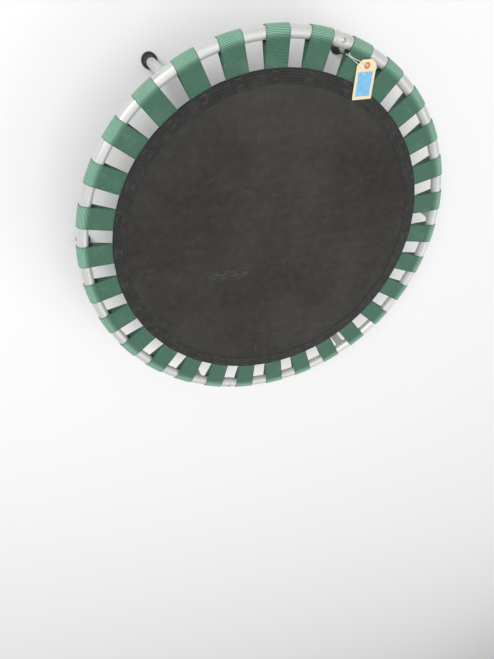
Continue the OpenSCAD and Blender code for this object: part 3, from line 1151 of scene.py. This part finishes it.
@dataclass
class Strap:
    """One loop of elastic webbing round the rim, sewn under the mat."""

    sizes: Sizes
    index: int
    thick: float = 1.55 * MM
    rib_pitch: float = 2.8 * MM
    rib_height: float = 0.13 * MM
    span_steps: int = 14
    wrap_steps: int = 26
    across_steps: int = 36

    @property
    def ring_r(self) -> float:
        """Radius of the webbing's middle where it goes round the rim tube."""
        return self.sizes.loop_r - self.thick / 2 - 0.12 * MM

    def centre_line(self, rng: random.Random) -> list[tuple[float, float, float]]:
        """Points of the loop seen end on.

        Args:
            rng: Source of the loop's own small slack.

        Returns:
            (out, up, bend) from the rim tube's middle, where bend is how far a point is into the bend;
            it raises the ribs and places the painted highlight.
        """
        s = self.sizes
        half = self.thick / 2
        reach, ring = s.rim_r - s.mat_r, self.ring_r
        tip = Vector((-reach, half + 0.05 * MM))
        turn = math.atan2(tip.y, tip.x) - math.acos(ring / tip.length)
        touch = Vector((math.cos(turn), math.sin(turn))) * ring
        tongue = [(-(s.rim_r - s.tongue_r) + 1.5 * MM, half + 0.05 * MM, 0.0),
                  (-reach - 10 * MM, half + 0.05 * MM, 0.0)]
        sag = rng.uniform(-0.25, 0.1) * MM
        span = []
        for i in range(self.span_steps + 1):
            t = i / self.span_steps
            ease = t - 0.045 * math.sin(FULL_TURN * t)
            point = tip.lerp(touch, ease)
            span.append((point.x, point.y + sag * math.sin(math.pi * t), max(0.0, t * 6 - 5) * 0.7))
        wrap = []
        for i in range(1, self.wrap_steps):
            a = turn - 2 * turn * i / self.wrap_steps
            wrap.append((ring * math.cos(a), ring * math.sin(a), 1.0))
        upper = tongue + span
        lower = [(x, -z, o) for x, z, o in reversed(upper)]
        return upper + wrap + lower

    def build(self) -> bpy.types.Object:
        """Extrude the loop's line across the webbing's width, rib it and give it thickness."""
        s = self.sizes
        rng = random.Random(100 + self.index)
        line = self.centre_line(rng)
        bm = bmesh.new()
        across = bm.verts.layers.float.new("across")
        along = bm.verts.layers.float.new("along")
        on_bend = bm.verts.layers.float.new("on_bend")
        width = s.strap_w - 0.5 * MM
        edges = chain(bm, [Vector((x, -width / 2, z)) for x, z, _ in line])
        bm.verts.ensure_lookup_table()
        length = 0.0
        for i, (x, z, how) in enumerate(line):
            if i:
                length += math.hypot(x - line[i - 1][0], z - line[i - 1][1])
            bm.verts[i][along] = length
            bm.verts[i][on_bend] = how
            bm.verts[i][across] = 0.0
        for i in range(self.across_steps):
            fresh, edges = grow(bm, edges)
            bmesh.ops.translate(bm, verts=fresh, vec=(0, width / self.across_steps, 0))
            for vert in fresh:
                vert[across] = width * (i + 1) / self.across_steps
        self.relief(bm, across, on_bend)
        bmesh.ops.recalc_face_normals(bm, faces=bm.faces)
        bmesh.ops.solidify(bm, geom=bm.faces, thickness=self.thick)
        self.centre_thickness(bm)
        set_uv(bm, lambda vert: (vert[across], vert[along]))
        self.bend_to_rim(bm, rng)
        piece = to_object(bm, f"webbing_loop_{self.index + 1:02d}", ELASTIC)
        sharpen(piece, 60)
        return self.fasten(piece, length)

    def relief(self, bm: bmesh.types.BMesh, across: object, on_bend: object) -> None:
        """Raise the ribs, except where the loop is sewn in."""
        s = self.sizes
        bm.normal_update()
        moves = {}
        for vert in bm.verts:
            shown = 1.0 if vert.co.x > -(s.rim_r - s.mat_r) + 1 * MM else 0.0
            lift = self.rib_height * math.cos(FULL_TURN * vert[across] / self.rib_pitch)
            moves[vert] = vert.normal * lift * shown * (0.6 + 0.4 * vert[on_bend])
        for vert, move in moves.items():
            vert.co += move

    def centre_thickness(self, bm: bmesh.types.BMesh) -> None:
        """Keep the webbing centred on its line whichever way it was thickened."""
        ring = [vert.co.xz.length for vert in bm.verts if vert.co.x > 0]
        shift = (max(ring) + min(ring)) / 2 - self.ring_r
        if abs(shift) > 0.2 * MM:
            self.pull(bm, shift)

    def pull(self, bm: bmesh.types.BMesh, shift: float) -> None:
        """Move every vertex square to the loop's line by a shift towards its inside."""
        s = self.sizes
        reach = s.rim_r - s.mat_r
        for vert in bm.verts:
            flat = Vector((vert.co.x, vert.co.z))
            if vert.co.x > 0:
                way = flat.normalized()
            else:
                slope = math.atan2(s.loop_r, reach) * 0.93
                lean = slope if vert.co.x > -reach else 0.0
                way = Vector((-math.sin(lean), math.copysign(math.cos(lean), vert.co.z)))
            vert.co.x -= way.x * shift
            vert.co.z -= way.y * shift

    def bend_to_rim(self, bm: bmesh.types.BMesh, rng: random.Random) -> None:
        """Wrap the straight loop round the curved rim and turn it to its place."""
        s = self.sizes
        slide = rng.uniform(-1.1, 1.1) * MM
        skew = rng.uniform(-0.006, 0.006)
        for vert in bm.verts:
            side = vert.co.y + slide + skew * vert.co.x
            out = s.rim_r + vert.co.x
            vert.co.x = math.sqrt(out * out - side * side)
            vert.co.y = side
        bmesh.ops.transform(
            bm, verts=bm.verts,
            matrix=Matrix.Rotation(s.strap_angle(self.index), 4, "Z")
            @ Matrix.Translation((0, 0, s.rim_h)),
        )

    def fasten(self, piece: bpy.types.Object, length: float) -> bpy.types.Object:
        """Bake the loop's placing, hide the strap that it stands for and log its webbing length."""
        s = self.sizes
        follow_strap(piece, s, self.index, "elastic_webbing")
        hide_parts(f"strap_{self.index + 1:02d}")
        first, second = s.joint_angles
        half = "rim_tube_b" if first < s.strap_angle(self.index) < second else "rim_tube_a"
        LOG.info("%s: %d faces, webbing %.0f mm long", piece.name, len(piece.data.polygons),
                 length / MM)
        return piece


@dataclass
class Bed:
    """The mat, its sewn border above and below, and all of its stitching."""

    sizes: Sizes
    body: str = "bed"
    border_w: float = 30 * MM
    rows: tuple[float, ...] = (3.5 * MM, 9.5 * MM, 15.5 * MM, 21.5 * MM, 26.8 * MM)
    stitch: float = 4.4 * MM
    gap: float = 1.4 * MM
    tack_w: float = 11 * MM
    tack_stitches: int = 12
    tack_rows: tuple[float, ...] = (5.5 * MM, 19.0 * MM)
    batch: int = 14
    mat_rings: int = 96
    mat_steps: int = 160
    border_steps: int = 360
    border_samples: int = 60

    def build(self) -> None:
        """Make every piece of the bed."""
        self.mat()
        for upper in (True, False):
            self.border(upper)
            self.stitching(upper)
        self.tacks()

    def mat(self) -> None:
        """A taut disc with slight creases and waviness."""
        s = self.sizes
        rings = self.mat_rings
        radius = s.mat_r - 0.6 * MM
        bm = bmesh.new()
        lathe(bm, [(radius * i / rings, 0) for i in range(rings + 1)], self.mat_steps)
        bmesh.ops.recalc_face_normals(bm, faces=bm.faces)
        thick = s.mat_high - s.mat_low
        bmesh.ops.solidify(bm, geom=bm.faces, thickness=thick)
        low = min(vert.co.z for vert in bm.verts)
        for vert in bm.verts:
            vert.co.z += s.mat_low - low + self.wave(vert.co.x, vert.co.y)
        piece = to_object(bm, "mat_sheet", MAT)
        dress(piece, self.body, "mat_weave", "mat")

    def wave(self, x: float, y: float) -> float:
        """Height of the mat's waviness and creases at a point, nothing under the border."""
        s = self.sizes
        inside = 1.0 - math.hypot(x, y) / (s.mat_r - self.border_w)
        if inside <= 0:
            return 0.0
        calm = min(1.0, inside * 6)
        swell = noise.noise(Vector((x * 6, y * 6, 0.4))) * 0.55 * MM
        fold = y - 0.015 + 0.19 * x + 0.012 * math.sin(x * 9)
        crease = 0.45 * MM * math.exp(-(fold / 0.004) ** 2)
        bowed = math.hypot(x - 0.52, y + 0.55) - 0.56
        curl = 0.4 * MM * math.exp(-(bowed / 0.005) ** 2)
        return calm * (swell - abs(crease) - curl)

    def border(self, upper: bool) -> None:
        """A ring of webbing with a shallow channel along each row of stitches.

        Args:
            upper: True for the ring above the mat, False for the one under it.
        """
        s = self.sizes
        inner, outer = s.mat_r - self.border_w, s.mat_r
        low, high = (s.mat_high, s.border_top) if upper else (s.border_low, s.rim_h - 1.8 * MM)
        face, back, way = (high, low, 1) if upper else (low, high, -1)
        e = 0.35 * MM
        outline = [(inner, back), (inner, face - way * e * 1.6), (inner + e, face - way * e * 0.6)]
        for i in range(self.border_samples + 1):
            r = inner + 2 * e + (outer - inner - 4 * e) * i / self.border_samples
            dip = sum(math.exp(-((outer - r - row) / (0.75 * MM)) ** 2) for row in self.rows)
            rise = 0.09 * MM * math.cos(FULL_TURN * (outer - r) / (3.2 * MM))
            outline.append((r, face - way * (0.16 * MM + 0.42 * MM * dip - rise * (1 - min(1, dip)))))
        outline += [(outer - e, face - way * e * 0.6), (outer, face - way * e * 1.6), (outer, back)]
        bm = bmesh.new()
        lathe(bm, outline, self.border_steps, loop=True)
        mid = (inner + outer) / 2
        for vert in bm.verts:
            angle = math.atan2(vert.co.y, vert.co.x)
            if vert.co.xy.length < inner + 1 * MM:
                pull = 0.5 * MM * math.sin(angle * s.strap_count * 0.5) * math.sin(angle * 7)
                vert.co.xy *= 1 + pull / vert.co.xy.length
        set_uv(bm, lambda vert: (math.atan2(vert.co.y, vert.co.x) * mid, outer - vert.co.xy.length))
        name, node = ("border_ring_top", "border_top") if upper else ("border_ring_low", "border_bottom")
        piece = to_object(bm, name, BORDER)
        dress(sharpen(piece, 60), self.body, "border_webbing", node)

    def stitching(self, upper: bool) -> None:
        """Rows of separate stitches round the border."""
        s = self.sizes
        rng = random.Random(5 if upper else 6)
        rows = self.rows if upper else self.rows[::2]
        level = s.border_top - 0.35 * MM if upper else s.border_low + 0.35 * MM
        halves = (0.42 * MM, self.stitch / 2, 0.36 * MM)
        bm = bmesh.new()
        for row in rows:
            radius = s.mat_r - row
            count = int(FULL_TURN * radius / (self.stitch + self.gap))
            for first in range(0, count, self.batch):
                part = bmesh.new()
                for i in range(first, min(count, first + self.batch)):
                    angle = FULL_TURN * (i + rng.uniform(-0.06, 0.06)) / count
                    side = radius + rng.uniform(-0.25, 0.25) * MM
                    add_stitch(part, turned(angle, side, level), rng.uniform(-0.06, 0.06), halves)
                absorb(bm, part)
        name = "stitch_rows_top" if upper else "stitch_rows_low"
        dress(to_object(bm, name, THREADS[Fibre.BLACK]), self.body, "border_webbing")

    def tacks(self) -> None:
        """A dense zigzag tack over the sewn end of each strap."""
        s = self.sizes
        rng = random.Random(8)
        bm = bmesh.new()
        for index in range(s.strap_count):
            middle = s.strap_angle(index) + rng.uniform(-0.35, 0.35) * self.tack_w / s.mat_r
            for near in self.tack_rows:
                self.tack(bm, middle + rng.uniform(-0.004, 0.004), s.mat_r - near, rng)
        dress(to_object(bm, "strap_tacks", THREADS[Fibre.WORN]), self.body, "border_webbing")

    def tack(self, bm: bmesh.types.BMesh, angle: float, radius: float, rng: random.Random) -> None:
        """One tack of close zigzag stitches."""
        level = self.sizes.border_top - 0.18 * MM
        halves = (1.25 * MM, 0.36 * MM, 0.3 * MM)
        part = bmesh.new()
        for i in range(self.tack_stitches):
            along = (i / (self.tack_stitches - 1) - 0.5) * self.tack_w
            lean = 0.35 if i % 2 else -0.35
            place = turned(angle + along / radius, radius, level)
            add_stitch(part, place, lean + rng.uniform(-0.08, 0.08), halves)
        absorb(bm, part)


@dataclass
class Tag:
    """The card tag, its reinforcing ring, label and string."""

    sizes: Sizes
    strap: int = 5
    string_d: float = 1.4 * MM
    hole_r: float = 2.5 * MM
    corner: float = 11 * MM
    card_t: float = 0.55 * MM
    label_t: float = 0.12 * MM
    string_step: float = 0.8 * MM
    bend_at: float = 52 * MM
    # The string's route in millimetres: tail, over the strap, under it and up through the hole.
    route: tuple[tuple[float, float, float], ...] = (
        (196, 367, 201.8), (193, 373, 202.5), (188, 379, 203.5), (180, 387, 204.5), (171, 395, 203.5),
        (162, 402, 202.5), (154, 407, 202), (151, 409, 199), (154, 407, 196), (163, 403, 196),
        (174, 397, 196), (187, 391, 196), (197, 387, 196.5), (200.5, 385.5, 198),
        (201, 385, 201), (201, 385, 203.5), (200, 385.5, 205.5), (197.5, 387, 206.5),
        (192, 390, 206), (183, 394, 205), (171, 399, 203.5), (161, 405, 202.5), (156, 410, 202.5),
    )

    def build(self) -> None:
        """Make the tag's pieces and tie them on."""
        card = self.card()
        patch = self.patch()
        label = self.label()
        string, path = self.string()
        knots = [self.knot("string_knot_tail", path[0], path[0] - path[3]),
                 self.knot("string_knot_end", path[-1], path[-1] - path[-4])]
        for piece, slot, nodes in (
            (card, "card", ["tag"]), (patch, "patch_paper", ["tag_patch"]), (label, "card", []),
            (string, "cotton", ["tag_string"]), (knots[0], "cotton", []), (knots[1], "cotton", []),
        ):
            self.hang(piece, slot, nodes)
        length = sum((b - a).length for a, b in zip(path, path[1:]))
        tuple(path[0])
        [tuple(p) for p in path]
        LOG.info("string is %.0f mm long", length / MM)

    def hang(self, piece: bpy.types.Object, slot: str, nodes: Sequence[str]) -> None:
        """Bake a piece's placing and hide the nodes that it stands for."""
        follow_strap(piece, self.sizes, self.strap, slot)
        if nodes:
            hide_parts(*nodes)
        LOG.info("%s: %d faces", piece.name, len(piece.data.polygons))

    def hole(self) -> Vector:
        """Middle of the tag's hole, from its patch."""
        low, high = box("tag_patch")
        return (low + high) / 2

    def surface(self, y: float) -> float:
        """Height of the card's underside along the tag: it leans, then lies on the border."""
        low, high = box("tag")
        s = self.sizes
        top = high.z - 0.8 * MM
        bend_y = high.y - self.bend_at
        bend_z = s.border_top + 0.3 * (top - s.border_top)
        if y > bend_y:
            return bend_z + (y - bend_y) / (high.y - bend_y) * (top - bend_z)
        t = (bend_y - y) / (bend_y - low.y)
        ease = t * (2 - t)
        return bend_z + (low.z + 0.1 * MM - bend_z) * ease

    def drape(self, bm: bmesh.types.BMesh, lift: float) -> None:
        """Lay a flat part over the tag's slope, rounding the bend."""
        reach = 5 * MM
        for vert in bm.verts:
            y = vert.co.y
            near = [self.surface(y + reach * (k - 2) / 2) for k in range(5)]
            curl = 0.5 * MM * math.sin((vert.co.x - 0.2) * 42 + 0.8)
            vert.co.z += sum(near) / len(near) + lift + max(0.0, curl)

    def plate(
        self, outline: Sequence[tuple[float, float]], name: str, finish: Finish, thick: float,
        lift: float, hole: Vector | None,
    ) -> bpy.types.Object:
        """Cut a plate to an outline, with an optional hole, and drape it.

        Args:
            outline: Corners in the plane, in order.
            name: Name of the piece.
            finish: Finish of the piece.
            thick: Thickness.
            lift: Height above the card's underside.
            hole: Middle of the hole, or None.

        Returns:
            The plate.
        """
        bm = bmesh.new()
        corners = [bm.verts.new((x, y, 0)) for x, y in outline]
        edges = [bm.edges.new(pair) for pair in zip(corners, corners[1:] + corners[:1])]
        if hole is not None:
            ring = bmesh.ops.create_circle(
                bm, cap_ends=False, segments=32, radius=self.hole_r,
                matrix=Matrix.Translation((hole.x, hole.y, 0)))["verts"]
            edges += list({edge for vert in ring for edge in vert.link_edges})
        bmesh.ops.triangle_fill(bm, edges=edges, use_beauty=True)
        low = min(y for _, y in outline)
        high = max(y for _, y in outline)
        cuts = 26
        for i in range(1, cuts):
            self.cut(bm, Vector((0, low + (high - low) * i / cuts, 0)), Vector((0, 1, 0)))
        west = min(x for x, _ in outline)
        east = max(x for x, _ in outline)
        for i in range(1, 10):
            self.cut(bm, Vector((west + (east - west) * i / 10, 0, 0)), Vector((1, 0, 0)))
        bmesh.ops.remove_doubles(bm, verts=bm.verts, dist=2e-5)
        bmesh.ops.recalc_face_normals(bm, faces=bm.faces)
        bmesh.ops.solidify(bm, geom=bm.faces, thickness=thick)
        bottom = min(vert.co.z for vert in bm.verts)
        bmesh.ops.translate(bm, verts=bm.verts, vec=(0, 0, -bottom))
        self.drape(bm, lift)
        return sharpen(to_object(bm, name, finish), 50)

    @staticmethod
    def cut(bm: bmesh.types.BMesh, point: Vector, normal: Vector) -> None:
        """Split the faces along a plane."""
        geom = list(bm.verts) + list(bm.edges) + list(bm.faces)
        bmesh.ops.bisect_plane(bm, geom=geom, plane_co=point, plane_no=normal, dist=1e-6)

    def card(self) -> bpy.types.Object:
        """The tag itself, with its two cut shoulders and its worn lower corners."""
        low, high = box("tag")
        c, e = self.corner, 1.2 * MM
        outline = [(low.x, high.y - c), (low.x, low.y + e), (low.x + e, low.y), (high.x - e, low.y),
                   (high.x, low.y + e), (high.x, high.y - c), (high.x - c, high.y),
                   (low.x + c, high.y)]
        return self.plate(outline, "tag_card", MANILA, self.card_t, 0.1 * MM, self.hole())

    def label(self) -> bpy.types.Object:
        """A plain blue paper label stuck on the card."""
        low, high = box("tag")
        west, east = low.x + 6.5 * MM, high.x - 5.5 * MM
        south, north = low.y + 6.5 * MM, high.y - 24 * MM
        outline = [(west, south), (east, south), (east - 0.8 * MM, north), (west - 0.6 * MM, north)]
        lift = self.card_t + 0.13 * MM
        return self.plate(outline, "tag_label", LABEL_PAPER, self.label_t, lift, None)

    def patch(self) -> bpy.types.Object:
        """The pressed paper ring round the hole."""
        centre = self.hole()
        low, high = box("tag_patch")
        outer = (high.x - low.x) / 2
        profile = [(self.hole_r, 0), (self.hole_r, 0.3 * MM), (self.hole_r + 0.3 * MM, 0.5 * MM),
                   (outer * 0.7, 0.48 * MM), (outer - 0.4 * MM, 0.4 * MM), (outer, 0.15 * MM),
                   (outer, 0)]
        bm = bmesh.new()
        lathe(bm, profile, 40, loop=True)
        for vert in bm.verts:
            vert.co.x += centre.x
            vert.co.y += centre.y
        self.drape(bm, self.card_t + 0.12 * MM)
        return sharpen(to_object(bm, "tag_ring", PATCH_PAPER), 40)

    def string(self) -> tuple[bpy.types.Object, list[Vector]]:
        """Two-ply cotton swept along the smooth route.

        Returns:
            The string and the points that it follows.
        """
        points = [Vector(p) * MM for p in self.route]
        path = self.resample(smooth_path(points, 14), self.string_step)
        side = Vector((0.4, 0.9, 0))
        places = []
        for i, point in enumerate(path):
            before, after = path[max(0, i - 1)], path[min(len(path) - 1, i + 1)]
            places.append(frame_at(point, after - before, side))
        radius = self.string_d / 2
        bm = bmesh.new()
        sweep(bm, places, [radius] * len(places), 12,
              lobes=lambda i, a: 1.0 - 0.2 * abs(math.sin(a - i * 0.55)) ** 3)
        return to_object(bm, "cotton_string", COTTON), path

    @staticmethod
    def resample(path: Sequence[Vector], step: float) -> list[Vector]:
        """Points at even steps along a path."""
        out, carried = [path[0]], 0.0
        for a, b in zip(path, path[1:]):
            span = (b - a).length
            while carried + span >= step and span > 0:
                t = (step - carried) / span
                a = a.lerp(b, t)
                out.append(a.copy())
                span = (b - a).length
                carried = 0.0
            carried += span
        return out

    def knot(self, name: str, at: Vector, way: Vector) -> bpy.types.Object:
        """A small overhand knot."""
        places, steps, size = [], 48, 0.62 * MM
        turn = frame_at(at + way.normalized() * 0.3 * MM, way, Vector((0, 0, 1)))
        curve = []
        for i in range(steps):
            a = FULL_TURN * i / steps
            curve.append(turn @ (Vector((math.sin(a) + 2 * math.sin(2 * a),
                                         math.cos(a) - 2 * math.cos(2 * a),
                                         -math.sin(3 * a) * 1.1)) * size * 0.55))
        for i in range(steps):
            along = curve[(i + 1) % steps] - curve[i - 1]
            places.append(frame_at(curve[i], along, turn.to_3x3() @ Vector((0, 0, 1))))
        bm = bmesh.new()
        sweep(bm, places, [size] * steps, 8, closed=True)
        return to_object(bm, name, COTTON)


def smooth_path(points: Sequence[Vector], steps: int) -> list[Vector]:
    """A Catmull-Rom curve through points.

    Args:
        points: The points to pass through.
        steps: Steps between two of them.

    Returns:
        The curve's points.
    """
    out = []
    last = len(points) - 1
    for i in range(last):
        a, b = points[max(0, i - 1)], points[i]
        c, d = points[i + 1], points[min(last, i + 2)]
        for k in range(steps):
            t = k / steps
            out.append(0.5 * (2 * b + (c - a) * t + (2 * a - 5 * b + 4 * c - d) * t * t
                              + (3 * b - a - 3 * c + d) * t ** 3))
    out.append(points[last].copy())
    return out


# ------------------------------------------------------------------------ the studio


@dataclass(frozen=True)
class Lamp:
    """One round soft light aimed at the trampoline."""

    name: str
    place: tuple[float, float, float]
    size: float
    power: float

    def build(self, target: Vector) -> None:
        """Hang the light and aim it at a target."""
        data = bpy.data.lights.new(self.name, "AREA")
        data.shape, data.size, data.energy = "DISK", self.size, self.power
        light = bpy.data.objects.new(self.name, data)
        bpy.context.scene.collection.objects.link(light)
        light.location = self.place
        light.rotation_mode = "QUATERNION"
        light.rotation_quaternion = (target - Vector(self.place)).to_track_quat("-Z", "Y")


@dataclass
class Studio:
    """Floor, lights and camera."""

    lamps: tuple[Lamp, ...] = (
        Lamp("key", (-2.4, 2.6, 4.4), 2.6, 175.0),
        Lamp("fill", (3.2, -2.6, 4.0), 3.4, 60.0),
        Lamp("top", (0.4, 0.2, 5.0), 3.0, 50.0),
    )
    target: tuple[float, float, float] = (0, 0, 0.15)
    surround: float = 0.45
    floor_size: float = 8.0
    eye: tuple[float, float, float] = (-0.394, 0.579, 1.2435)
    aim: tuple[float, float, float] = (-0.077, -0.255, 0.190)
    roll: float = -151.9
    lens: float = 27.07
    sensor: float = 36.0

    def build(self) -> None:
        """Make the studio."""
        self.camera()
        self.floor()
        self.lights()

    def camera(self) -> None:
        """A camera above and beyond one leg, rolled so that the legs point up and left."""
        data = bpy.data.cameras.new("camera")
        data.lens, data.sensor_width = self.lens, self.sensor
        data.clip_start, data.clip_end = 0.01, 50
        camera = bpy.data.objects.new("camera", data)
        bpy.context.scene.collection.objects.link(camera)
        look = (Vector(self.aim) - Vector(self.eye)).to_track_quat("-Z", "Y").to_matrix().to_4x4()
        camera.matrix_world = (Matrix.Translation(self.eye) @ look
                               @ Matrix.Rotation(math.radians(-self.roll), 4, "Z"))
        bpy.context.scene.camera = camera

    def floor(self) -> None:
        """A wide plain floor."""
        bm = bmesh.new()
        bmesh.ops.create_grid(bm, x_segments=2, y_segments=2, size=self.floor_size)
        floor = to_object(bm, "studio_floor", FLOOR, closed=False)

    def lights(self) -> None:
        """One large soft key light, a fill and an even surround."""
        for lamp in self.lamps:
            lamp.build(Vector(self.target))
        world = bpy.data.worlds.new("surround")
        world.use_nodes = True
        world.node_tree.nodes["Background"].inputs["Color"].default_value = (1, 1, 1, 1)
        world.node_tree.nodes["Background"].inputs["Strength"].default_value = self.surround
        bpy.context.scene.world = world
        bpy.context.scene.view_settings.view_transform = "Standard"


@dataclass
class Trampoline:
    """The whole trampoline."""

    sizes: Sizes

    def build(self) -> None:
        """Build every sub-assembly in order."""
        Tag(self.sizes).build()
        Rim(self.sizes).build()
        for index in range(self.sizes.leg_count):
            Leg(self.sizes, index).build()
        for index in range(self.sizes.strap_count):
            Strap(self.sizes, index).build()
        Bed(self.sizes).build()


def main() -> None:
    """Build the studio and the trampoline, and report each piece."""
    logging.basicConfig(level=logging.INFO, format="%(name)s: %(message)s")
    Studio().build()
    Trampoline(Sizes.measured()).build()


if __name__ == "__main__":
    main()
